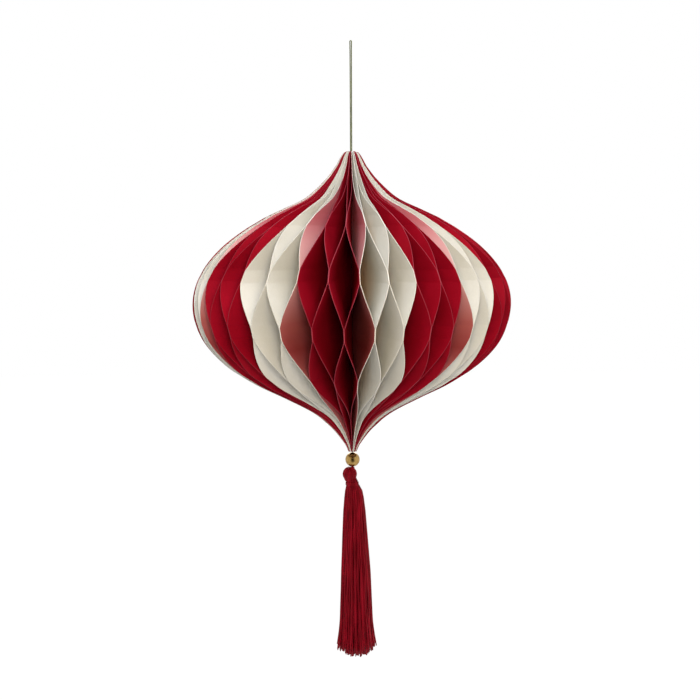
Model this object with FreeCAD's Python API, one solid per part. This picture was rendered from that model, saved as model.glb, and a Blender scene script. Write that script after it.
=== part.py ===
import FreeCAD, Part
import math
import os

# Honeycomb paper ornament on a thread loop, with a bead and a tassel under it.
# Millimetres, +Z up. The origin is the point inside the top of the loop that rests on its hook,
# and -Y is the side that faces the viewer.
# Flat paper leaves stand round a bound spine like the pages of an open book. Each leaf is glued
# to the leaf on its left and to the leaf on its right at alternate heights, so the opened leaves
# swing from side to side and leave rows of pointed cells between them.

# Paper body
BODY_DIAMETER = 200.0
BODY_HEIGHT = 190.0
PAPER = 0.15
LEAVES_PER_COLOUR = 4
# Each colour's block of leaves opens to its own angle, in degrees, because the body is opened by
# hand. The first block starts at the front, and the rest follow it towards +X.
BLOCK_OPENINGS = [19.5, 17.9, 18.2, 23.6] + 10 * [20.22] + [14.0, 21.6, 22.4, 20.6]
# Half of the body's outline: shares of its height, from the top, and of its radius.
OUTLINE = [
    (0.000, 0.032), (0.019, 0.066), (0.063, 0.116), (0.120, 0.216), (0.158, 0.308),
    (0.192, 0.447), (0.234, 0.607), (0.316, 0.820), (0.410, 0.958), (0.510, 1.000),
    (0.610, 0.946), (0.695, 0.811), (0.758, 0.637), (0.812, 0.436), (0.864, 0.256),
    (0.916, 0.138), (0.974, 0.050), (1.000, 0.027),
]

# Glue lines of the leaves, in shares of the body's height
GLUE_LINES = 6
FIRST_GLUE_SHARE = 0.062
GLUE_SPACING_SHARE = 0.1684
GLUE_WIDTH = 7.0
# 0 leaves the flanks between two glue lines straight, 1 rounds them fully.
FLANK_ROUNDING = 0.12

# Hanging loop
LOOP_DROP = 67.5
LOOP_THREAD = 0.7
LOOP_LEG_GAP = 0.05
LOOP_EYE_WIDTH = 1.4
KNOT_DIAMETER = 3.2
KNOT_HEIGHT = 3.0
KNOT_DEPTH = 1.5

# Bead and threads
BEAD_DIAMETER = 9.2
BEAD_FACE_COUNT = 24
BEAD_GAP = 0.75
CORE_THREAD = 0.9
BORE_PLAY = 0.1

# Tassel
TASSEL_LENGTH = 120.5
HEAD_DIAMETER = 9.1
HEAD_SHIFT = -1.8
# The ball of the head is cut flat below at this share of its radius from its centre.
HEAD_CUT = -0.62
HEAD_GAP = 0.3
NECK_DIAMETER = 8.0
NECK_SHIFT = -0.35
WRAP_HEIGHT = 2.2
WRAP_THICKNESS = 0.4
FLARE_DIAMETER = 12.6
FLARE_SHIFT = 0.85
WAIST_DIAMETER = 19.1
WAIST_SHIFT = 1.7
HEM_DIAMETER = 24.4
HEM_SHIFT = 1.8
HEM_RAGGEDNESS = 3.0
OUTER_LOCKS = 14
INNER_LOCKS = 5

# Sizes that follow from those above
BODY_RADIUS = BODY_DIAMETER / 2
BODY_TOP = -LOOP_DROP
BODY_BOTTOM = BODY_TOP - BODY_HEIGHT
BLOCK_COUNT = len(BLOCK_OPENINGS)
DEGREE = 2 * math.pi / sum(BLOCK_OPENINGS)
# The leaves of the tightest block crowd to the full thickness of the paper at the spine.
SPINE_RADIUS = 1.02 * PAPER * LEAVES_PER_COLOUR / (min(BLOCK_OPENINGS) * DEGREE)
SEAT = 0.02
GLUE_DEPTHS = [BODY_HEIGHT * (FIRST_GLUE_SHARE + GLUE_SPACING_SHARE * i) for i in range(GLUE_LINES)]
THREAD_RADIUS = CORE_THREAD / 2
BORE_RADIUS = (CORE_THREAD + BORE_PLAY) / 2
BEAD_CENTRE = BODY_BOTTOM - BEAD_GAP - BEAD_DIAMETER / 2
HEAD_TOP = BEAD_CENTRE - BEAD_DIAMETER / 2 - HEAD_GAP
HEAD_CENTRE = HEAD_TOP - HEAD_DIAMETER / 2
HEM = HEAD_TOP - TASSEL_LENGTH

Z = FreeCAD.Vector(0, 0, 1)


def vec(x, y, z):
    return FreeCAD.Vector(x, y, z)


def body_radius(depth):
    """Radius of the paper body at a depth below its top: a smooth curve through OUTLINE."""
    share = depth / BODY_HEIGHT
    last = len(OUTLINE) - 1
    i = max(j for j in range(last) if j == 0 or OUTLINE[j][0] <= share)

    def slope(j):
        before, after = OUTLINE[max(j - 1, 0)], OUTLINE[min(j + 1, last)]
        return (after[1] - before[1]) / (after[0] - before[0])

    (s0, r0), (s1, r1) = OUTLINE[i], OUTLINE[i + 1]
    span = s1 - s0
    t = (share - s0) / span
    radius = (r0 * (1 + 2 * t) * (1 - t) ** 2 + r1 * t * t * (3 - 2 * t)
              + span * t * (1 - t) * (slope(i) * (1 - t) - slope(i + 1) * t))
    return BODY_RADIUS * radius


def plane_angle(index):
    """Angle from -Y, towards +X, of the plane where leaf index meets the leaf before it."""
    block, leaf = divmod(index, LEAVES_PER_COLOUR)
    turn = sum(BLOCK_OPENINGS[:block]) + BLOCK_OPENINGS[block % BLOCK_COUNT] * leaf / LEAVES_PER_COLOUR
    return turn * DEGREE


def polyhedron(polygons):
    """Closed solid from its flat faces, each a list of corners."""
    faces = [Part.Face(Part.makePolygon(corners + corners[:1])) for corners in polygons]
    shell = Part.makeCompound(faces)
    shell.sewShape()
    solid = Part.Solid(shell.Shells[0])
    if solid.Volume < 0:
        solid.reverse()
    return solid


def leaf_patches(index):
    """Flat patches of one leaf, and its outer and inner edges, as (depth, lean, radius) points.

    lean is 0 where the leaf lies on its left-hand glue plane and 1 on its right-hand one.
    """
    half = GLUE_WIDTH / 2

    def edge(depth, lean):
        return depth, lean, body_radius(depth)

    def spine(depth, lean):
        return depth, lean, SPINE_RADIUS

    lean = index % 2
    first, last = GLUE_DEPTHS[0] + half, GLUE_DEPTHS[-1] - half
    tail = BODY_HEIGHT - last
    outer = [edge(share * first, lean) for share in (0, 0.3, 0.65, 1)]
    inner = [spine(0, lean), spine(first, lean)]
    patches = [outer + inner[::-1]]
    for above, below in zip(GLUE_DEPTHS, GLUE_DEPTHS[1:]):
        start, end = above + half, below - half
        bend = []
        for t in (0, 1 / 3, 2 / 3, 1):
            swing = t - FLANK_ROUNDING * math.sin(2 * math.pi * t) / (2 * math.pi)
            bend.append(edge(start + t * (end - start), lean + swing * (1 - 2 * lean)))
        lean = 1 - lean
        root = [inner[-1], spine(end, lean)]
        patches += [
            [bend[0], bend[1], root[0]], [bend[1], bend[2], root[0]],
            [bend[2], root[1], root[0]], [bend[2], bend[3], root[1]],
        ]
        outer += bend[1:]
        inner.append(root[1])
        if below < GLUE_DEPTHS[-1]:
            glued = [bend[3], edge(below + half, lean), spine(below + half, lean), root[1]]
            patches.append(glued)
            outer.append(glued[1])
            inner.append(glued[2])
    tip = [edge(last + share * tail, lean) for share in (0.33, 0.66, 1)]
    foot = spine(BODY_HEIGHT, lean)
    patches.append([outer[-1]] + tip + [foot, inner[-1]])
    return patches, outer + tip, inner + [foot]


def leaf(index):
    """One paper leaf between its two glue planes, which it never crosses."""
    low, high = plane_angle(index), plane_angle(index + 1)

    def corner(point, side):
        depth, lean, radius = point
        angle = low + lean * (high - low)
        offset = (side - lean) * PAPER
        return vec(radius * math.sin(angle) + offset * math.cos(angle),
                   -radius * math.cos(angle) + offset * math.sin(angle),
                   BODY_TOP - depth)

    patches, outer, inner = leaf_patches(index)
    polygons = []
    for patch in patches:
        polygons.append([corner(p, 1) for p in patch])
        polygons.append([corner(p, 0) for p in reversed(patch)])
    for rim in (outer, inner[::-1]):
        for a, b in zip(rim, rim[1:]):
            strip = [corner(a, 0), corner(b, 0), corner(b, 1), corner(a, 1)]
            if a[1] == b[1]:
                polygons.append(strip)
            else:
                polygons += [strip[:3], [strip[0]] + strip[2:]]
    for a, b in ((inner[0], outer[0]), (outer[-1], inner[-1])):
        polygons.append([corner(a, 0), corner(b, 0), corner(b, 1), corner(a, 1)])
    return polyhedron(polygons)


def leaf_block(block):
    """The neighbouring leaves that share one colour of paper."""
    start = block * LEAVES_PER_COLOUR
    return Part.makeCompound([leaf(start + i) for i in range(LEAVES_PER_COLOUR)])


def spine_binding():
    """Tube of binding glue that holds the inner edges of all the leaves."""
    top = BODY_TOP - KNOT_DEPTH - KNOT_HEIGHT
    foot = vec(0, 0, BODY_BOTTOM)
    tube = Part.makeCylinder(SPINE_RADIUS - SEAT, top - BODY_BOTTOM, foot)
    return tube.cut(Part.makeCylinder(BORE_RADIUS, top - BODY_BOTTOM, foot))


def hanging_loop():
    """Doubled thread, pulled straight, with a small eye where it goes over the hook."""
    radius = LOOP_THREAD / 2
    leg = radius + LOOP_LEG_GAP / 2
    eye = LOOP_EYE_WIDTH / 2
    centre = radius - eye
    foot = BODY_TOP - KNOT_DEPTH + SEAT
    # Each leg leaves its foot along the line that touches the arc of the eye.
    rise = centre - foot
    slant = math.asin(eye / math.hypot(leg, rise)) - math.atan2(leg, rise)
    across, down = eye * math.cos(slant), eye * math.sin(slant)
    left, right = vec(-across, 0, centre - down), vec(across, 0, centre - down)
    path = Part.Wire([
        Part.LineSegment(vec(leg, 0, foot), right).toShape(),
        Part.Arc(right, vec(0, 0, centre + eye), left).toShape(),
        Part.LineSegment(left, vec(-leg, 0, foot)).toShape(),
    ])
    section = Part.Wire(Part.makeCircle(radius, vec(leg, 0, foot), Z))
    tube = path.makePipeShell([section], True, False)
    ratio = tube.Volume / (math.pi * radius ** 2 * path.Length)
    print("loop length %.2f, volume ratio %.4f, eye radius %.2f" % (path.Length, ratio, eye))
    return tube


def ring(radius, height, sides, centre_x=0.0):
    """Corners of a level regular polygon."""
    turns = [2 * math.pi * i / sides for i in range(sides)]
    return [vec(centre_x + radius * math.sin(a), -radius * math.cos(a), height) for a in turns]


def band(low, high):
    """Flat faces between two level rings with the same number of corners."""
    return [[low[i - 1], low[i], high[i], high[i - 1]] for i in range(len(low))]


def stack(rings):
    """Solid through level rings, from the lowest to the highest."""
    polygons = [rings[0][::-1], rings[-1]]
    for low, high in zip(rings, rings[1:]):
        polygons += band(low, high)
    return polyhedron(polygons)


def loop_knot():
    """Knot that ties both ends of the loop and rests on the end of the binding."""
    wide = KNOT_DIAMETER / 2
    top = BODY_TOP - KNOT_DEPTH
    levels = ((1.0, 0.62), (0.65, 1.0), (0.35, 1.0), (0.0, 0.62))
    return stack([ring(r * wide, top - d * KNOT_HEIGHT, 12) for d, r in levels])


def core_thread():
    """Thread through the bound spine that carries the bead, tied off inside the bead."""
    length = BODY_TOP - KNOT_DEPTH - KNOT_HEIGHT - BEAD_CENTRE
    return Part.makeCylinder(THREAD_RADIUS, length, vec(0, 0, BEAD_CENTRE))


def bead():
    """Round metal bead, drilled through."""
    radius = BEAD_DIAMETER / 2
    latitudes = [math.radians(20 * i) for i in range(-4, 5)]
    ball = stack([ring(radius * math.cos(a), BEAD_CENTRE + radius * math.sin(a), BEAD_FACE_COUNT)
                  for a in latitudes])
    return ball.cut(Part.makeCylinder(BORE_RADIUS, BEAD_DIAMETER, vec(0, 0, BEAD_CENTRE - radius)))


def tassel_cord():
    """Short thread from the middle of the bead to the top of the tassel."""
    return Part.makeCylinder(THREAD_RADIUS, BEAD_CENTRE - HEAD_TOP, vec(0, 0, HEAD_TOP))


def tassel_head():
    """Ball of threads folded over the cord, flat below where the locks come out of it."""
    radius = HEAD_DIAMETER / 2
    rings = []
    for share in (HEAD_CUT, -0.3, 0.05, 0.4, 0.7, 0.92):
        # Above 0.7 the threads close in on the cord, which stays on the axis.
        shift = HEAD_SHIFT * min(1, (1 - share) / 0.3)
        rings.append(ring(radius * math.sqrt(1 - share * share), HEAD_CENTRE + radius * share,
                          OUTER_LOCKS, shift))
    rings.append(ring(1.6 * THREAD_RADIUS, HEAD_TOP, OUTER_LOCKS))
    return stack(rings)


HEAD_FOOT = HEAD_CENTRE + HEAD_CUT * HEAD_DIAMETER / 2
WRAP_TOP = HEAD_FOOT - WRAP_HEIGHT
WRAP_FOOT = WRAP_TOP - WRAP_HEIGHT
# Sections of the skirt from the head to the hem: height, sideways shift and radius.
SKIRT = [
    (HEAD_FOOT, HEAD_SHIFT / 2, 0.76 * HEAD_DIAMETER / 2),
    (WRAP_TOP, NECK_SHIFT, NECK_DIAMETER / 2),
    (WRAP_FOOT, NECK_SHIFT, NECK_DIAMETER / 2),
    (HEAD_TOP - 0.16 * TASSEL_LENGTH, FLARE_SHIFT, FLARE_DIAMETER / 2),
    (HEAD_TOP - 0.56 * TASSEL_LENGTH, WAIST_SHIFT, WAIST_DIAMETER / 2),
    (HEM, HEM_SHIFT, HEM_DIAMETER / 2),
]


def tassel_wrap():
    """Thread wound round the neck of the tassel."""
    sides = OUTER_LOCKS
    inner = (NECK_DIAMETER / 2 + SEAT) / math.cos(math.pi / sides)
    holes = [ring(inner, height, sides, NECK_SHIFT) for height in (WRAP_FOOT, WRAP_TOP)]
    outer = [ring(inner + r * WRAP_THICKNESS, WRAP_FOOT + h * WRAP_HEIGHT, sides, NECK_SHIFT)
             for h, r in ((0, 0.6), (0.3, 1), (0.7, 1), (1, 0.6))]
    loop = [holes[0]] + outer + [holes[1], holes[0]]
    polygons = []
    for low, high in zip(loop, loop[1:]):
        polygons += band(low, high)
    return polyhedron(polygons)


def lock(sections, start, end, inner_share, outer_share):
    """One lock of threads: a sector of the skirt that keeps its shape and only grows."""
    corners = []
    for height, shift, radius in sections:
        corners.append([vec(shift + radius * share * math.sin(a), -radius * share * math.cos(a), height)
                        for share, a in ((inner_share, start), (outer_share, start),
                                         (outer_share, end), (inner_share, end))])
    polygons = [corners[0], corners[-1][::-1]]
    for high, low in zip(corners, corners[1:]):
        polygons += [[high[i], low[i], low[(i + 1) % 4], high[(i + 1) % 4]] for i in range(4)]
    return polyhedron(polygons)


def tassel_skirt():
    """Locks of thread hanging from the head: a ring of them round an inner bundle."""
    (waist, waist_shift, waist_radius), (hem, hem_shift, hem_radius) = SKIRT[-2:]
    locks = []
    for i in range(OUTER_LOCKS):
        end = hem - HEM_RAGGEDNESS * math.sin(2.4 * i)
        t = (waist - end) / (waist - hem)
        foot = (end, waist_shift + t * (hem_shift - waist_shift),
                waist_radius + t * (hem_radius - waist_radius))
        middle = 2 * math.pi * (i + 0.5) / OUTER_LOCKS
        reach = 0.47 * 2 * math.pi / OUTER_LOCKS
        locks.append(lock(SKIRT[:-1] + [foot], middle - reach, middle + reach, 0.64, 1.0))
    for i in range(INNER_LOCKS):
        middle = 2 * math.pi * i / INNER_LOCKS
        reach = 0.46 * 2 * math.pi / INNER_LOCKS
        locks.append(lock(SKIRT[:3] + SKIRT[-1:], middle - reach, middle + reach, 0.1, 0.58))
    return Part.makeCompound(locks)


def main():
    os.makedirs("parts", exist_ok=True)
    parts = {
        "hanging_loop": hanging_loop(),
        "loop_knot": loop_knot(),
        "spine_binding": spine_binding(),
        "core_thread": core_thread(),
        "bead": bead(),
        "tassel_cord": tassel_cord(),
        "tassel_head": tassel_head(),
        "tassel_wrap": tassel_wrap(),
        "tassel_skirt": tassel_skirt(),
    }
    for block in range(BLOCK_COUNT):
        colour = ("cream", "red")[block % 2]
        parts["%s_leaves_%d" % (colour, block // 2 + 1)] = leaf_block(block)
    for name, shape in parts.items():
        shape.exportStep("parts/%s.step" % name)


main()
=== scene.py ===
import math
import random
import bpy
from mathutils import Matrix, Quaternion, Vector


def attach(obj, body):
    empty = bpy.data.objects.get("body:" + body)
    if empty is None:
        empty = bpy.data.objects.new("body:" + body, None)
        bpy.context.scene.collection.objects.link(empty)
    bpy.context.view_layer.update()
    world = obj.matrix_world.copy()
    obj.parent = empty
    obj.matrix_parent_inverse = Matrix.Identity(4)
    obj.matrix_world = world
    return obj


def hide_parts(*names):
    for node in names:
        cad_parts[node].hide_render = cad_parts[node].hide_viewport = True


# Honeycomb paper ornament on a thread loop, with a brass bead and a tassel.
# Sizes are in millimetres, as in the construction, and become metres where a mesh is made.

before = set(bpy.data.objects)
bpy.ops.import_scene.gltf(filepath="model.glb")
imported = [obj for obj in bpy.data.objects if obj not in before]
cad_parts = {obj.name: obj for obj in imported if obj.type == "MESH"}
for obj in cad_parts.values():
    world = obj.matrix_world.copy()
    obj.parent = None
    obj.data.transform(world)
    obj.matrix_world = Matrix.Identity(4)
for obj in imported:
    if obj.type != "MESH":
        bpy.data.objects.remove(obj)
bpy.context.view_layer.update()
MM = 0.001

# Paper body
BODY_RADIUS = 100.0
BODY_HEIGHT = 190.0
BODY_TOP = -67.5
LEAVES_PER_COLOUR = 4
# Opening of each colour's block of leaves, in degrees, from the front towards +X.
BLOCK_OPENINGS = [19.5, 17.9, 18.2, 23.6] + 10 * [20.22] + [14.0, 21.6, 22.4, 20.6]
BLOCK_COUNT = len(BLOCK_OPENINGS)
LEAF_COUNT = BLOCK_COUNT * LEAVES_PER_COLOUR
# Outline of a leaf: shares of the body's height from its top, and of its radius.
OUTLINE = [
    (0.000, 0.028), (0.004, 0.047), (0.019, 0.067), (0.063, 0.116), (0.120, 0.216), (0.158, 0.308),
    (0.192, 0.447), (0.234, 0.607), (0.316, 0.820), (0.410, 0.958), (0.510, 1.000),
    (0.610, 0.946), (0.695, 0.811), (0.758, 0.637), (0.812, 0.436), (0.864, 0.256),
    (0.916, 0.138), (0.974, 0.050), (1.000, 0.027),
]
PAPER = 0.15
# A leaf is drawn thicker towards its rim, fully so from this radius, so that its cut edge shows.
CUT_EDGE = 0.3
FULL_EDGE_RADIUS = 60.0
# The inner edges of the leaves stand where four thicknesses fit in the narrowest block.
SPINE_SLACK = 1.02
SPINE_RADIUS = SPINE_SLACK * PAPER * LEAVES_PER_COLOUR / math.radians(min(BLOCK_OPENINGS))

# Glue lines: their places as shares of the body's height, and half the height of one.
GLUE_LEVELS = 6
FIRST_GLUE_SHARE = 0.062
GLUE_SHARE_STEP = 0.1684
GLUE_DEPTHS = [BODY_HEIGHT * (FIRST_GLUE_SHARE + GLUE_SHARE_STEP * i) for i in range(GLUE_LEVELS)]
GLUE_HALF = 3.5
FLANK_ROUNDING = 0.14
# How far hand work puts a glue line off its plane, in degrees, and off its level.
PLANE_SLIP = 0.22
LEVEL_SLIP = 0.7

# Rows and columns of points in a leaf
LEAF_COLUMNS = (0.0, 0.2, 0.45, 0.72, 1.0)
TOP_ROWS = [0.0, 0.35, 0.8]
ROW_STEP = 1.6
BAND_EASE = 0.5
FOOT_STEPS = 10

# Threads
LOOP_THREAD = 0.7
AXIS_THREAD = 0.9
PLIES = 3
PLY_TURN = 2.4
PLY_STEP = 0.3
# Soft plies press into each other: their spacing, as a share of that of round ones that touch.
PLY_SPACING = 0.45
# The loop's two legs hang side by side, and open into a small eye at the hook.
LOOP_FOOT = BODY_TOP - 1.48
LEG_GAP = 0.025
LEG_SPREAD = 0.02
EYE_HALF = 0.5
EYE_NECK = 6 * LOOP_THREAD
CORE_TOP = BODY_TOP - 4.5

# Bead
BEAD_RADIUS = 4.6
BORE_RADIUS = 0.5
BORE_CHAMFER = 0.08
BORE_CHAMFER_DEPTH = 0.15
BEAD_HEIGHT = BODY_TOP - BODY_HEIGHT - 5.35
# The ball ends at this angle above and below its middle, in degrees, where the hole's edge starts.
BEAD_END = 80
BEAD_RING_STEP = 4

# Tassel: its head and neck sit a little to the left of the axis.
HEAD_RADIUS = 4.55
HEAD_SHIFT = -1.8
HEAD_TOP = BEAD_HEIGHT - 4.9
HEAD_HEIGHT = HEAD_TOP - HEAD_RADIUS
NECK_RADIUS = 4.0
NECK_SHIFT = -0.35
NECK_TOP = HEAD_HEIGHT - 5.02
NECK_FOOT = NECK_TOP - 2.2
TASSEL_LENGTH = 120.5
HEM_HEIGHT = HEAD_TOP - TASSEL_LENGTH
# The skirt leans and widens towards the hem: height, shift of its middle and radius.
SKIRT_LINE = [
    (HEAD_HEIGHT - 2.4, -1.1, 3.4), (NECK_TOP, -0.4, 3.9), (NECK_FOOT, 0.1, 3.95),
    (HEAD_TOP - 14, 0.6, 5.4), (HEAD_TOP - 19.4, 0.85, 6.3), (HEAD_TOP - 29, 1.05, 7.3),
    (HEAD_TOP - 67.8, 1.7, 9.6), (HEAD_TOP - 100, 1.8, 10.6), (HEM_HEIGHT + 4, 1.9, 12.0),
    (HEM_HEIGHT - 6, 1.9, 12.3),
]
STRANDS = 330
STRAND_TOP = HEAD_HEIGHT - 2.3
STRAND_STEPS = 26
STRAND_SIDES = 5
# Least and greatest radius of a strand, and shares of it at the neck and at the cut end.
STRAND_RADIUS = (0.34, 0.46)
NECK_SQUEEZE = 0.62
CUT_END = 0.8
# Least and greatest height of a strand's wave, count of its waves, and share that it strays outwards.
WAVE = (0.15, 0.55)
BEATS = (1.2, 2.6)
STRAY = (-0.05, 0.08)
TURN_SLIP = 0.1
# Turn from one strand to the next that fills a round bundle evenly, in radians.
GOLDEN_TURN = 2.39996
BUNDLE_SHARE = 0.97
# The hem hangs lowest in the middle of the bundle, and a share of the threads are short.
HEM_DROP = 3.4
HEM_RISE = 5.6
HEM_SLIP = 1.6
SHORT_STRANDS = 0.12
SHORTEST = 5
FLARE = 1.1
FLARE_START = 0.86
# Head: a core, and meridians that twist a little and run into the neck. The steps are in degrees.
CORE_WIDTH = 0.9
CORE_HEIGHT = 0.92
HEAD_STRANDS = 44
HEAD_STRAND_RADIUS = 0.3
HEAD_STEPS = 15
HEAD_STEP = 12
HEAD_POLE = 88
HEAD_SLIP = 0.25
HEAD_TWIST = 0.25
NECK_START = math.radians(-36)
NECK_BLEND = math.radians(44)
# Knot under the bead: a coil that narrows as it rises.
KNOT_THREAD_RADIUS = 0.26
KNOT_TURNS = 3
KNOT_TURN_STEPS = 20
KNOT_OUTER = 1.25
KNOT_INNER = 0.53
KNOT_DEPTH = 0.65
KNOT_RISE = 0.66
# Winding of the neck
WRAP_TURNS = 7
WRAP_TURN_STEPS = 28
WRAP_THREAD_RADIUS = 0.17
WRAP_STAND = 0.1
WRAP_INSET = 0.2

# Camera: the photograph's frame is 700 pixels wide, and one pixel is PIXEL mm at the axis.
FRAME_PIXELS = 700
PIXEL = 0.6363
CAMERA_TURN = math.radians(-2.34)
CAMERA_REACH = 700.0
CAMERA_HEIGHT = -127.0
AIM_HEIGHT = -192.3
AIM_SIDE = -1.3
CAMERA_ROLL = math.radians(-0.27)
SENSOR = 36

# Studio
BODY_MIDDLE = (0, 0, -165)
FLOOR_HALF = 6000.0
FLOOR_HEIGHT = -900
SCREEN_HALF = 450
SCREEN_BACK = -900
SCREEN_TOP = 2000

# Surfaces of card: the size of its fibre clumps, and their strength and depth as a relief.
FIBRE_CLUMP = 1.2
CARD_RELIEF = (0.12, 0.05)
DYE_CLOUD = 25


def linear(code):
    """Linear colour of an sRGB hex value."""
    parts = [int(code[i:i + 2], 16) / 255 for i in (1, 3, 5)]
    return tuple(c / 12.92 if c <= 0.04045 else ((c + 0.055) / 1.055) ** 2.4 for c in parts) + (1.0,)


def add(tree, kind, settings=None, *sources, stops=(), **links):
    """Adds a node with its settings, links its inputs in order or by name, and sets a ramp's stops."""
    made = tree.nodes.new(kind)
    for name, value in (settings or {}).items():
        if isinstance(name, str) and hasattr(made, name):
            setattr(made, name, value)
        else:
            made.inputs[name].default_value = value
    for place, source in enumerate(sources):
        if source is not None:
            tree.links.new(source, made.inputs[place])
    for name, source in links.items():
        tree.links.new(source, made.inputs[name.replace("_", " ")])
    for i, (position, code) in enumerate(stops):
        band = made.color_ramp.elements
        stop = band[i] if i < len(band) else band.new(1.0)
        stop.position = position
        stop.color = linear(code)
    return made


def new_material(name):
    """Empty material and its node tree."""
    made = bpy.data.materials.new(name)
    made.use_nodes = True
    made.node_tree.nodes.clear()
    return made, made.node_tree


def surface(tree, settings, relief, pattern, **links):
    """The material's surface, with a pattern as its relief, of a strength and a depth."""
    strength, depth = relief
    bump = add(tree, "ShaderNodeBump", {"Strength": strength, "Distance": depth * MM}, Height=pattern)
    shader = add(tree, "ShaderNodeBsdfPrincipled", settings, Normal=bump.outputs[0], **links)
    add(tree, "ShaderNodeOutputMaterial", Surface=shader.outputs[0])


def card_fibres(tree, spot):
    """Clumps of fibre in a card."""
    settings = {"Scale": 1 / (FIBRE_CLUMP * MM), "Detail": 4.0, "Roughness": 0.6}
    return add(tree, "ShaderNodeTexNoise", settings, Vector=spot).outputs["Fac"]


def dyed_card(name, low, high, roughness, inner="#ffffff"):
    """Dyed paper card, calendered: an even, nearly matt face whose fibres show as a faint mottle.

    Towards the middle of the body the inner colour tints the card: painted shade, darker and warmer deep
    in the cells.
    """
    made, tree = new_material(name)
    spot = add(tree, "ShaderNodeTexCoord").outputs["Object"]
    fibre = card_fibres(tree, spot)
    dye = add(tree, "ShaderNodeTexNoise", {"Scale": 1 / (DYE_CLOUD * MM), "Detail": 2.0},
              Vector=spot).outputs["Fac"]
    mottle = add(tree, "ShaderNodeMath", {"operation": "MULTIPLY_ADD", 1: 0.35}, fibre, None, dye)
    face = add(tree, "ShaderNodeValToRGB", None, mottle.outputs[0], stops=[(0.45, low), (0.95, high)])
    middle = (0, 0, (BODY_TOP - BODY_HEIGHT / 2) * MM)
    reach = add(tree, "ShaderNodeVectorMath", {"operation": "DISTANCE", 1: middle}, spot)
    share = add(tree, "ShaderNodeMapRange", {"From Min": 0, "From Max": BODY_RADIUS * MM},
                reach.outputs["Value"])
    # Painted shade: the inner colour darkens and warms the card towards the body's middle.
    painted_deep_shade = add(tree, "ShaderNodeValToRGB", None, share.outputs[0],
                 stops=[(0.25, inner), (0.7, "#ffffff")])
    tinted = add(tree, "ShaderNodeVectorMath", {"operation": "MULTIPLY"},
                 face.outputs["Color"], painted_deep_shade.outputs["Color"])
    surface(tree, {"Roughness": roughness, "IOR": 1.5, "Specular IOR Level": 0.08}, CARD_RELIEF, fibre,
            Base_Color=tinted.outputs[0])
    return made


def painted_red_bounce_card(name):
    """Face of a cream leaf that looks at a red one: painted red bounce light from the red leaf, and
    painted shade that is mostly deeper lower down.
    """
    made, tree = new_material(name)
    spot = add(tree, "ShaderNodeTexCoord").outputs["Object"]
    height = add(tree, "ShaderNodeSeparateXYZ", None, spot).outputs["Z"]
    drop = add(tree, "ShaderNodeMapRange", {"From Min": -100 * MM, "From Max": -200 * MM}, height)
    # Painted light and shade by height: pink where red light bounces from the red leaf, darker shade lower
    # down.
    colour = add(tree, "ShaderNodeValToRGB", None, drop.outputs[0],
                 stops=[(0.1, "#d87b86"), (0.24, "#ecb4b6"), (0.4, "#efcdca"), (0.54, "#dc9c9a"),
                        (0.7, "#bc6662"), (0.85, "#a04444"), (1.0, "#c06a69")])
    surface(tree, {"Roughness": 0.65, "IOR": 1.5, "Specular IOR Level": 0.08}, CARD_RELIEF,
            card_fibres(tree, spot), Base_Color=colour.outputs["Color"])
    return made


def spun_thread(name, low, high, roughness, pitch):
    """Spun thread: fine twisted fibres, so the colour runs in short streaks along the thread.

    The pitch is the width of a streak, coarser than the fibres are, so that streaks show.
    """
    made, tree = new_material(name)
    spot = add(tree, "ShaderNodeTexCoord").outputs["Object"]
    drawn_out = add(tree, "ShaderNodeMapping", {"Scale": (1.0, 1.0, 0.12)}, Vector=spot)
    streak = add(tree, "ShaderNodeTexNoise", {"Scale": 1 / (pitch * MM), "Detail": 3.0, "Roughness": 0.55},
                 Vector=drawn_out.outputs[0]).outputs["Fac"]
    colour = add(tree, "ShaderNodeValToRGB", None, streak, stops=[(0.32, low), (0.68, high)])
    surface(tree, {"Roughness": roughness, "IOR": 1.5, "Specular IOR Level": 0.12}, (0.35, 0.05), streak,
            Base_Color=colour.outputs["Color"])
    return made


def tumbled_brass(name):
    """Brass, tumbled and left unlacquered: soft reflections, with clouds of brown tarnish.

    The clouds are about 2.2 mm across, and the tumbling leaves marks of about 0.25 mm.
    """
    made, tree = new_material(name)
    spot = add(tree, "ShaderNodeTexCoord").outputs["Object"]
    cloud = add(tree, "ShaderNodeTexNoise", {"Scale": 1 / (2.2 * MM), "Detail": 3.0},
                Vector=spot).outputs["Fac"]
    marks = add(tree, "ShaderNodeTexNoise", {"Scale": 1 / (0.25 * MM), "Detail": 2.0},
                Vector=spot).outputs["Fac"]
    colour = add(tree, "ShaderNodeValToRGB", None, cloud, stops=[(0.35, "#9a763c"), (0.7, "#c2a366")])
    rough = add(tree, "ShaderNodeMapRange", {"To Min": 0.3, "To Max": 0.42}, cloud)
    surface(tree, {"Metallic": 1.0}, (0.05, 0.02), marks,
            Base_Color=colour.outputs["Color"], Roughness=rough.outputs[0])
    return made


def direct_view(tree):
    """1 for the rays of the camera, reflections and clear things, and 0 for light on its way."""
    path = add(tree, "ShaderNodeLightPath").outputs
    either = add(tree, "ShaderNodeMath", {"operation": "MAXIMUM"},
                 path["Is Camera Ray"], path["Is Glossy Ray"])
    return add(tree, "ShaderNodeMath", {"operation": "MAXIMUM"},
               either.outputs[0], path["Is Transmission Ray"]).outputs[0]


def white_sweep(name, diffuse):
    """Matt white paper, which the camera sees as plain white with a tenth of its real shading."""
    made, tree = new_material(name)
    share = add(tree, "ShaderNodeMath", {"operation": "MULTIPLY", 1: 0.9}, direct_view(tree))
    matt = add(tree, "ShaderNodeBsdfDiffuse", {"Color": linear(diffuse)})
    glow = add(tree, "ShaderNodeEmission", {"Color": (1, 1, 1, 1), "Strength": 1.08})
    mix = add(tree, "ShaderNodeMixShader", None, share.outputs[0], matt.outputs[0], glow.outputs[0])
    add(tree, "ShaderNodeOutputMaterial", Surface=mix.outputs[0])
    return made


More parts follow.
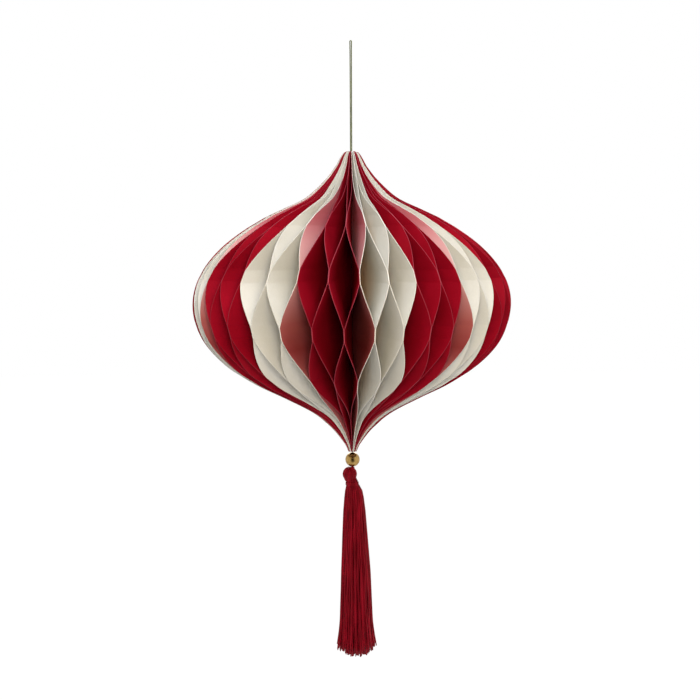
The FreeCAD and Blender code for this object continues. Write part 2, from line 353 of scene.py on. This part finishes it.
RED_CARD = dyed_card("red_dyed_card", "#93081d", "#ad0e28", 0.6)
# The cream card's inner colour is painted shade deep in the cells.
CREAM_CARD = dyed_card("cream_dyed_card", "#dcdad2", "#eae8e2", 0.65, "#ffd9b2")
# Painted red bounce light and shade on cream faces that look at red leaves.
PAINTED_RED_BOUNCE = painted_red_bounce_card("cream_card_painted_red_bounce")
# The cut edge shows the card's core, which takes less dye than its faces.
RED_EDGE = dyed_card("red_card_cut_edge", "#93303f", "#a64653", 0.8)
CREAM_EDGE = dyed_card("cream_card_cut_edge", "#dbd7cd", "#e8e5dd", 0.8)
GOLD_THREAD = spun_thread("gold_lurex_thread", "#3c440a", "#68701a", 0.42, 0.5)
WHITE_THREAD = spun_thread("white_polyester_thread", "#cfcabc", "#f0ede2", 0.6, 0.3)
TASSEL_THREAD = spun_thread("red_rayon_thread", "#6c0410", "#a41026", 0.5, 2.4)
BRASS = tumbled_brass("tumbled_brass")
# The glue has dried on the card, and shows its fibres.
BINDING_GLUE = dyed_card("dried_binding_glue", "#3c211b", "#4c2c22", 0.4)


def fit_piece(piece, materials, slot, *nodes):
    """Gives a finished piece its materials, and puts it in the place of its construction nodes."""
    for finish in materials:
        piece.data.materials.append(finish)
    bpy.context.scene.collection.objects.link(piece)
    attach(piece, "root")
    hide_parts(*nodes)
    return piece


def mesh_object(name, points, faces, finishes=None, smooth=True):
    """Mesh object from points in millimetres."""
    mesh = bpy.data.meshes.new(name)
    mesh.from_pydata([(x * MM, y * MM, z * MM) for x, y, z in points], [], faces)
    for face in mesh.polygons:
        face.use_smooth = smooth
    if finishes:
        mesh.polygons.foreach_set("material_index", finishes)
    mesh.update()
    return bpy.data.objects.new(name, mesh)


def tube(path, radii, sides):
    """Points and faces of a round tube along a path, closed at both ends."""
    points, faces = [], []
    side = Vector((1, 0, 0))
    last = len(path) - 1
    for i, spot in enumerate(path):
        along = (path[min(i + 1, last)] - path[max(i - 1, 0)]).normalized()
        side = (side - along * side.dot(along)).normalized()
        other = along.cross(side)
        for j in range(sides):
            a = 2 * math.pi * j / sides
            points.append(spot + (side * math.cos(a) + other * math.sin(a)) * radii[i])
    for i in range(last):
        faces += ring_faces(i, sides)
    faces.append(tuple(reversed(range(sides))))
    faces.append(tuple(last * sides + j for j in range(sides)))
    return points, faces


def ring_faces(ring, sides):
    """Faces between a ring of points and the next."""
    here, there = ring * sides, (ring + 1) * sides
    pairs = [(j, (j + 1) % sides) for j in range(sides)]
    return [(here + j, here + k, there + k, there + j) for j, k in pairs]


def merge(parts):
    """One set of points and faces from several."""
    points, faces = [], []
    for more_points, more_faces in parts:
        start = len(points)
        points += more_points
        faces += [tuple(start + i for i in face) for face in more_faces]
    return points, faces


def turned(profile, sides, axis_x=0.0):
    """Points and faces of a form turned about a vertical axis, from (radius, height) pairs."""
    points, faces = [], []
    for radius, height in profile:
        for j in range(sides):
            a = 2 * math.pi * j / sides
            points.append(Vector((axis_x + radius * math.sin(a), -radius * math.cos(a), height)))
    for i in range(len(profile) - 1):
        faces += ring_faces(i, sides)
    return points, faces


def body_radius(depth):
    """Radius of the paper body at a depth below its top: a smooth curve through OUTLINE."""
    share = depth / BODY_HEIGHT
    last = len(OUTLINE) - 1
    i = max(j for j in range(last) if j == 0 or OUTLINE[j][0] <= share)

    def slope(j):
        before, after = OUTLINE[max(j - 1, 0)], OUTLINE[min(j + 1, last)]
        return (after[1] - before[1]) / (after[0] - before[0])

    (s0, r0), (s1, r1) = OUTLINE[i], OUTLINE[i + 1]
    span = s1 - s0
    t = (share - s0) / span
    radius = (r0 * (1 + 2 * t) * (1 - t) ** 2 + r1 * t * t * (3 - 2 * t)
              + span * t * (1 - t) * (slope(i) * (1 - t) - slope(i + 1) * t))
    return BODY_RADIUS * radius


def plane_angle(index):
    """Angle from -Y, towards +X, of the plane where leaf index meets the leaf before it."""
    block, leaf = divmod(index, LEAVES_PER_COLOUR)
    turn = sum(BLOCK_OPENINGS[:block]) + BLOCK_OPENINGS[block % BLOCK_COUNT] * leaf / LEAVES_PER_COLOUR
    return math.radians(turn)


# Hand-glued leaves: each glue line sits a little off its plane and its level.
chance = random.Random(11)
GLUE_OFF = [[chance.uniform(-PLANE_SLIP, PLANE_SLIP) for _ in GLUE_DEPTHS] for _ in range(LEAF_COUNT)]
GLUE_UP = [[chance.uniform(-LEVEL_SLIP, LEVEL_SLIP) for _ in GLUE_DEPTHS] for _ in range(LEAF_COUNT)]


def glue_line(leaf, level):
    """Angle, depth and lean of the glue line that holds a leaf at a level.

    The lean is 0 where the leaf is glued to the one before it, and 1 where to the one after.
    """
    lean = (leaf + level) % 2
    plane = (leaf + lean) % LEAF_COUNT
    angle = plane_angle(leaf + lean) + math.radians(GLUE_OFF[plane][level])
    return angle, GLUE_DEPTHS[level] + GLUE_UP[plane][level], lean


def leaf_track(leaf, depth):
    """Angle and lean of a leaf at a depth: still at its glue lines, swinging between them."""
    lines = [glue_line(leaf, level) for level in range(GLUE_LEVELS)]
    if depth <= lines[0][1]:
        return lines[0][0], lines[0][2]
    if depth >= lines[-1][1]:
        return lines[-1][0], lines[-1][2]
    level = max(i for i, line in enumerate(lines) if line[1] <= depth)
    (a0, d0, lean0), (a1, d1, lean1) = lines[level], lines[level + 1]
    t = (depth - d0 - GLUE_HALF) / (d1 - d0 - 2 * GLUE_HALF)
    t = min(max(t, 0.0), 1.0)
    swing = t - FLANK_ROUNDING * math.sin(2 * math.pi * t) / (2 * math.pi)
    return a0 + swing * (a1 - a0), lean0 + swing * (lean1 - lean0)


def leaf_rows(leaf):
    """Depths of a leaf's rows: close together where it bends at the ends of its glue lines."""
    rows = list(TOP_ROWS)
    for level in range(GLUE_LEVELS):
        middle = glue_line(leaf, level)[1]
        ends = (middle - GLUE_HALF, middle + GLUE_HALF)
        band = [end + ease for end in ends for ease in (-BAND_EASE, 0, BAND_EASE)]
        steps = max(int((band[0] - rows[-1]) / ROW_STEP), 1)
        rows += [rows[-1] + (band[0] - rows[-1]) * i / steps for i in range(1, steps)] + band
    foot = BODY_HEIGHT - rows[-1]
    rows += [rows[-1] + foot * i / FOOT_STEPS for i in range(1, FOOT_STEPS + 1)]
    return rows


def leaf_mesh(leaf, red_bounce_side=None):
    """Points, faces and finishes of one leaf: two faces of card and its cut edges.

    A finish is 0 for card, 1 for a cut edge and 2 for a side with painted red bounce light and shade.
    """
    points, faces, finishes = [], [], []
    across = len(LEAF_COLUMNS)
    rows = leaf_rows(leaf)
    for depth in rows:
        angle, lean = leaf_track(leaf, depth)
        rim = body_radius(depth)
        for side in (0, 1):
            for column in LEAF_COLUMNS:
                radius = SPINE_RADIUS + column * (rim - SPINE_RADIUS)
                thick = PAPER + (CUT_EDGE - PAPER) * min(radius / FULL_EDGE_RADIUS, 1.0)
                offset = (side - lean) * thick
                points.append((radius * math.sin(angle) + offset * math.cos(angle),
                               -radius * math.cos(angle) + offset * math.sin(angle),
                               BODY_TOP - depth))
    stride = 2 * across
    for row in range(len(rows) - 1):
        here, below = row * stride, (row + 1) * stride
        for c in range(across - 1):
            faces.append((here + c, here + c + 1, below + c + 1, below + c))
            near, far = here + across + c, below + across + c
            faces.append((far, far + 1, near + 1, near))
            finishes += [2 if red_bounce_side == 0 else 0, 2 if red_bounce_side == 1 else 0]
        faces.append((here + across - 1, here + stride - 1, below + stride - 1, below + across - 1))
        faces.append((here, below, below + across, here + across))
        finishes += [1, 1]
    for start, flip in ((0, False), ((len(rows) - 1) * stride, True)):
        for c in range(across - 1):
            corner = (start + c, start + across + c, start + across + c + 1, start + c + 1)
            faces.append(corner[::-1] if flip else corner)
            finishes.append(1)
    return points, faces, finishes


def leaf_block(block):
    """Four neighbouring leaves of one colour; the outer sides of cream ones look at red leaves."""
    colour = ("cream", "red")[block % 2]
    points, faces, finishes = [], [], []
    # The outer sides of cream leaves carry the painted red bounce light and shade.
    red_bounce_sides = {0: 0, LEAVES_PER_COLOUR - 1: 1} if colour == "cream" else {}
    for i in range(LEAVES_PER_COLOUR):
        more_points, more_faces, more_finishes = leaf_mesh(block * LEAVES_PER_COLOUR + i, red_bounce_sides.get(i))
        start = len(points)
        points += more_points
        faces += [tuple(start + j for j in face) for face in more_faces]
        finishes += more_finishes
    node = "%s_leaves_%d" % (colour, block // 2 + 1)
    piece = mesh_object(node + "_card", points, faces, finishes)
    piece.data.set_sharp_from_angle(angle=math.radians(50))
    cards = (RED_CARD, RED_EDGE) if colour == "red" else (CREAM_CARD, CREAM_EDGE, PAINTED_RED_BOUNCE)
    fit_piece(piece, cards, colour + "_paper", node)


for block in range(BLOCK_COUNT):
    leaf_block(block)


def loop_route():
    """Control points of the doubled thread: up one leg, round the eye and down the other."""
    leg = LOOP_THREAD / 2 + LEG_GAP
    top = LOOP_THREAD / 2
    side = [(leg, LOOP_FOOT), (leg + LEG_SPREAD, top - EYE_HALF - EYE_NECK),
            (EYE_HALF, top - 2 * EYE_HALF), (EYE_HALF, top)]
    right = [Vector((x, 0, z)) for x, z in side]
    return right + [Vector((-p.x, 0, p.z)) for p in reversed(right)]


def smooth_line(route):
    """Points of the smooth line that the route's NURBS spline draws."""
    curve = bpy.data.curves.new("loop_line", "CURVE")
    curve.dimensions = "3D"
    curve.resolution_u = 24
    spline = curve.splines.new("NURBS")
    spline.points.add(len(route) - 1)
    for point, spot in zip(spline.points, route):
        point.co = (spot.x, spot.y, spot.z, 1)
    spline.order_u = 3
    spline.use_endpoint_u = True
    holder = bpy.data.objects.new("loop_line", curve)
    mesh = bpy.data.meshes.new_from_object(holder)
    line = [v.co.copy() for v in mesh.vertices]
    bpy.data.objects.remove(holder)
    bpy.data.curves.remove(curve)
    bpy.data.meshes.remove(mesh)
    return line


def evenly(line, step):
    """Points a step apart along a line."""
    out = [line[0]]
    left = step
    for a, b in zip(line, line[1:]):
        length = (b - a).length
        while length > left:
            a = a + (b - a).normalized() * left
            length -= left
            out.append(a)
            left = step
        left -= length
    out.append(line[-1])
    return out


def plied(line, thread, sides):
    """Twisted plies that follow a line."""
    ply = thread / 2 / (1 + 1 / math.sin(math.pi / PLIES) * PLY_SPACING)
    orbit = thread / 2 - ply
    parts = []
    for p in range(PLIES):
        side = Vector((0, 1, 0))
        path = []
        run = 0.0
        for i, spot in enumerate(line):
            along = (line[min(i + 1, len(line) - 1)] - line[max(i - 1, 0)]).normalized()
            side = (side - along * side.dot(along)).normalized()
            other = along.cross(side)
            if i:
                run += (spot - line[i - 1]).length
            a = 2 * math.pi * (p / PLIES + run / PLY_TURN)
            path.append(spot + (side * math.cos(a) + other * math.sin(a)) * orbit)
        parts.append(tube(path, [ply] * len(path), sides))
    return merge(parts)


def hanging_loop():
    """Doubled thread that the ornament hangs from."""
    line = evenly(smooth_line(loop_route()), PLY_STEP)
    piece = mesh_object("hanging_loop_thread", *plied(line, LOOP_THREAD, sides=8))
    fit_piece(piece, [GOLD_THREAD], "gold_thread", "hanging_loop")


hanging_loop()


def bead():
    """Round bead with a softly broken edge at each end of its hole."""
    profile = []
    for turn in range(-BEAD_END, BEAD_END + 1, BEAD_RING_STEP):
        a = math.radians(turn)
        profile.append((BEAD_RADIUS * math.cos(a), BEAD_HEIGHT + BEAD_RADIUS * math.sin(a)))
    rim = BEAD_RADIUS * math.sin(math.radians(BEAD_END))
    inner = [(BORE_RADIUS + BORE_CHAMFER, BEAD_HEIGHT + rim),
             (BORE_RADIUS, BEAD_HEIGHT + rim - BORE_CHAMFER_DEPTH)]
    profile += inner
    profile += [(r, 2 * BEAD_HEIGHT - z) for r, z in reversed(inner)]
    profile.append(profile[0])
    points, faces = turned(profile, 64)
    piece = mesh_object("brass_bead", points, faces)
    piece.data.set_sharp_from_angle(angle=math.radians(60))
    fit_piece(piece, [BRASS], "brass", "bead")


bead()


def skirt_at(height):
    """Sideways shift and radius of the skirt at a height."""
    for (z0, c0, r0), (z1, c1, r1) in zip(SKIRT_LINE, SKIRT_LINE[1:]):
        if height >= z1:
            t = min(max((z0 - height) / (z0 - z1), 0.0), 1.0)
            return c0 + t * (c1 - c0), r0 + t * (r1 - r0)
    return SKIRT_LINE[-1][1:]


def skirt_strands():
    """Hanging threads: each keeps its place in the bundle, with a slow wave of its own."""
    luck = random.Random(5)
    parts = []
    for i in range(STRANDS):
        share = math.sqrt((i + 0.5) / STRANDS)
        turn = i * GOLDEN_TURN + luck.uniform(-TURN_SLIP, TURN_SLIP)
        hem = HEM_HEIGHT - HEM_DROP + HEM_RISE * share ** 2 - luck.uniform(-HEM_SLIP, HEM_SLIP)
        hem += (luck.random() < SHORT_STRANDS) * luck.uniform(0, SHORTEST)
        wave = luck.uniform(*WAVE)
        phase = luck.uniform(0, 6.28)
        beats = luck.uniform(*BEATS)
        stray = luck.uniform(*STRAY)
        flare = luck.uniform(0, FLARE) * share ** 3
        path = []
        for k in range(STRAND_STEPS + 1):
            t = k / STRAND_STEPS
            height = STRAND_TOP + (hem - STRAND_TOP) * t
            shift, radius = skirt_at(height)
            spread = flare * max((t - FLARE_START) / (1 - FLARE_START), 0) ** 2
            out = share * radius * (1 + stray * t * t) * BUNDLE_SHARE + spread
            sway = wave * math.sin(phase + beats * 2 * math.pi * t) * min(t * 4, 1)
            a = turn + sway / max(out, 2.0)
            path.append(Vector((shift + out * math.sin(a) + 0.3 * sway * math.cos(phase),
                                -out * math.cos(a) + 0.3 * sway * math.sin(phase), height)))
        # A strand widens over its first third, from the neck down.
        full = luck.uniform(*STRAND_RADIUS)
        radii = [full * (NECK_SQUEEZE + (1 - NECK_SQUEEZE) * min(3 * k / STRAND_STEPS, 1))
                 for k in range(STRAND_STEPS + 1)]
        radii[-1] *= CUT_END
        parts.append(tube(path, radii, STRAND_SIDES))
    return merge(parts)


def head_core():
    """Filling of the head, just inside its threads."""
    profile = []
    for turn in range(-HEAD_POLE, HEAD_POLE + 1, 8):
        a = math.radians(turn)
        profile.append((HEAD_RADIUS * CORE_WIDTH * math.cos(a),
                        HEAD_HEIGHT + HEAD_RADIUS * CORE_HEIGHT * math.sin(a)))
    return turned(profile, 24, HEAD_SHIFT)


def cord_knot():
    """Close turns of the cord under the bead."""
    steps = KNOT_TURNS * KNOT_TURN_STEPS
    path = []
    for i in range(steps + 1):
        a = 2 * math.pi * KNOT_TURNS * i / steps
        radius = KNOT_OUTER + (KNOT_INNER - KNOT_OUTER) * i / steps
        height = HEAD_TOP - KNOT_DEPTH + KNOT_RISE * i / steps
        path.append(Vector((radius * math.sin(a), -radius * math.cos(a), height)))
    return tube(path, [KNOT_THREAD_RADIUS] * len(path), 6)


def tassel_head():
    """Threads folded over the cord: a ball of slightly twisted meridians that run into the neck."""
    luck = random.Random(8)
    parts = [head_core()]
    for i in range(HEAD_STRANDS):
        turn = 2 * math.pi * (i + luck.uniform(-HEAD_SLIP, HEAD_SLIP)) / HEAD_STRANDS
        path = []
        for k in range(HEAD_STEPS):
            a = math.radians(HEAD_POLE - HEAD_STEP * k)
            radius = (HEAD_RADIUS - 0.24) * math.cos(a)
            height = HEAD_HEIGHT + (HEAD_RADIUS - 0.1) * math.sin(a)
            lean = HEAD_SHIFT
            if a < NECK_START:
                shift, neck = skirt_at(height)
                radius = max(radius, neck * 0.98)
                lean = HEAD_SHIFT + min((NECK_START - a) / NECK_BLEND, 1) * (shift - HEAD_SHIFT)
            b = turn + HEAD_TWIST * math.sin(a)
            path.append(Vector((lean + radius * math.sin(b), -radius * math.cos(b), height)))
        parts.append(tube(path, [HEAD_STRAND_RADIUS] * len(path), 6))
    parts.append(cord_knot())
    return merge(parts)


def neck_winding():
    """Thread wound round the neck in close turns."""
    steps = WRAP_TURNS * WRAP_TURN_STEPS
    radius = NECK_RADIUS + WRAP_STAND
    path = []
    for i in range(steps + 1):
        a = 2 * math.pi * WRAP_TURNS * i / steps
        height = NECK_TOP - WRAP_INSET - (NECK_TOP - NECK_FOOT - 2 * WRAP_INSET) * i / steps
        path.append(Vector((NECK_SHIFT + radius * math.sin(a), -radius * math.cos(a), height)))
    return tube(path, [WRAP_THREAD_RADIUS] * len(path), 6)


for name, (points, faces), node in (
        ("tassel_skirt_threads", skirt_strands(), "tassel_skirt"),
        ("tassel_head_threads", tassel_head(), "tassel_head"),
        ("tassel_neck_winding", neck_winding(), "tassel_wrap")):
    fit_piece(mesh_object(name, points, faces), [TASSEL_THREAD], "tassel_thread", node)


def axis_thread(name, top, foot, finish, slot, node):
    """Short length of twisted thread on the ornament's axis."""
    line = evenly([Vector((0, 0, top)), Vector((0, 0, foot))], PLY_STEP)
    fit_piece(mesh_object(name, *plied(line, AXIS_THREAD, sides=6)), [finish], slot, node)


axis_thread("core_thread_plies", CORE_TOP, BEAD_HEIGHT, WHITE_THREAD, "white_thread", "core_thread")
axis_thread("tassel_cord_plies", BEAD_HEIGHT, HEAD_TOP, TASSEL_THREAD, "tassel_thread", "tassel_cord")


def refinish(node, finish):
    """Gives a piece that is kept from the construction its finish."""
    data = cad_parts[node].data
    data.materials.clear()
    data.materials.append(finish)


refinish("loop_knot", GOLD_THREAD)
refinish("spine_binding", BINDING_GLUE)


def stage_sheet(name, corners, finish):
    """Flat sheet of the studio, which is no part of the ornament."""
    sheet = mesh_object(name, corners, [(0, 1, 2, 3)], smooth=False)
    sheet.data.materials.append(finish)
    bpy.context.scene.collection.objects.link(sheet)
    return sheet


def white_floor():
    """Wide white floor well below the hanging ornament."""
    corners = [(-FLOOR_HALF, -FLOOR_HALF, FLOOR_HEIGHT), (FLOOR_HALF, -FLOOR_HALF, FLOOR_HEIGHT),
               (FLOOR_HALF, FLOOR_HALF, FLOOR_HEIGHT), (-FLOOR_HALF, FLOOR_HALF, FLOOR_HEIGHT)]
    stage_sheet("white_floor", corners, white_sweep("white_paper_sweep", "#f0f0f0"))


def dark_screen():
    """Black card behind the camera, which only polished metal shows."""
    corners = [(-SCREEN_HALF, SCREEN_BACK, FLOOR_HEIGHT), (SCREEN_HALF, SCREEN_BACK, FLOOR_HEIGHT),
               (SCREEN_HALF, SCREEN_BACK, SCREEN_TOP), (-SCREEN_HALF, SCREEN_BACK, SCREEN_TOP)]
    screen = stage_sheet("dark_screen", corners, dyed_card("black_card", "#141010", "#1c1614", 0.9))
    screen.visible_camera = screen.visible_diffuse = screen.visible_shadow = False


def studio_room():
    """Soft warm light from the room, which the camera and reflections see as plain white."""
    world = bpy.data.worlds.new("studio_room")
    bpy.context.scene.world = world
    world.use_nodes = True
    tree = world.node_tree
    tree.nodes.clear()
    room = add(tree, "ShaderNodeBackground", {"Color": (1, 0.92, 0.81, 1), "Strength": 0.41})
    white = add(tree, "ShaderNodeBackground", {"Color": (1, 1, 1, 1), "Strength": 1.0})
    mix = add(tree, "ShaderNodeMixShader", None, direct_view(tree), room.outputs[0], white.outputs[0])
    add(tree, "ShaderNodeOutputWorld", Surface=mix.outputs[0])


def softbox(name, spot, width, height, power, tint=(1.0, 1.0, 1.0)):
    """Rectangular studio light, aimed at the body's middle."""
    light = bpy.data.lights.new(name, "AREA")
    light.shape = "RECTANGLE"
    light.size = width * MM
    light.size_y = height * MM
    light.energy = power
    light.color = tint
    holder = bpy.data.objects.new(name, light)
    holder.location = Vector(spot) * MM
    direction = Vector(BODY_MIDDLE) * MM - holder.location
    holder.rotation_euler = direction.to_track_quat("-Z", "Y").to_euler()
    bpy.context.scene.collection.objects.link(holder)
    return holder


def camera():
    """Camera at the photograph's place, aimed so that one pixel is PIXEL mm at the axis."""
    across = Vector((math.cos(CAMERA_TURN), math.sin(CAMERA_TURN), 0))
    back = Vector((math.sin(CAMERA_TURN), -math.cos(CAMERA_TURN), 0))
    spot = back * CAMERA_REACH + across * AIM_SIDE + Vector((0, 0, CAMERA_HEIGHT))
    aim = across * AIM_SIDE + Vector((0, 0, AIM_HEIGHT))
    data = bpy.data.cameras.new("camera")
    data.sensor_width = SENSOR
    data.lens = SENSOR * (aim - spot).length / (FRAME_PIXELS * PIXEL)
    data.clip_start = 0.05
    holder = bpy.data.objects.new("camera", data)
    holder.location = spot * MM
    roll = Quaternion((0, 0, 1), CAMERA_ROLL)
    holder.rotation_euler = ((aim - spot).to_track_quat("-Z", "Y") @ roll).to_euler()
    bpy.context.scene.collection.objects.link(holder)
    bpy.context.scene.camera = holder


white_floor()
dark_screen()
studio_room()
softbox("overhead_softbox", (0, -250, 1000), 1200, 900, 13.6, (0.85, 0.9, 1.0))
fill = softbox("camera_side_fill", (0, -720, -60), 160, 120, 1.55)
near = softbox("near_fill", (0, -380, -100), 120, 90, 0.26, (1.0, 0.75, 0.35))
# The fills only lift the shadows in the cells, and leave no spot on the bead.
fill.visible_glossy = near.visible_glossy = False
softbox("left_softbox", (-1050, -750, 150), 380, 850, 0.5)
softbox("right_softbox", (1050, -750, 150), 280, 750, 0.6)
softbox("back_softbox", (0, 1100, 250), 900, 700, 9)
camera()
bpy.context.scene.view_settings.view_transform = "Standard"
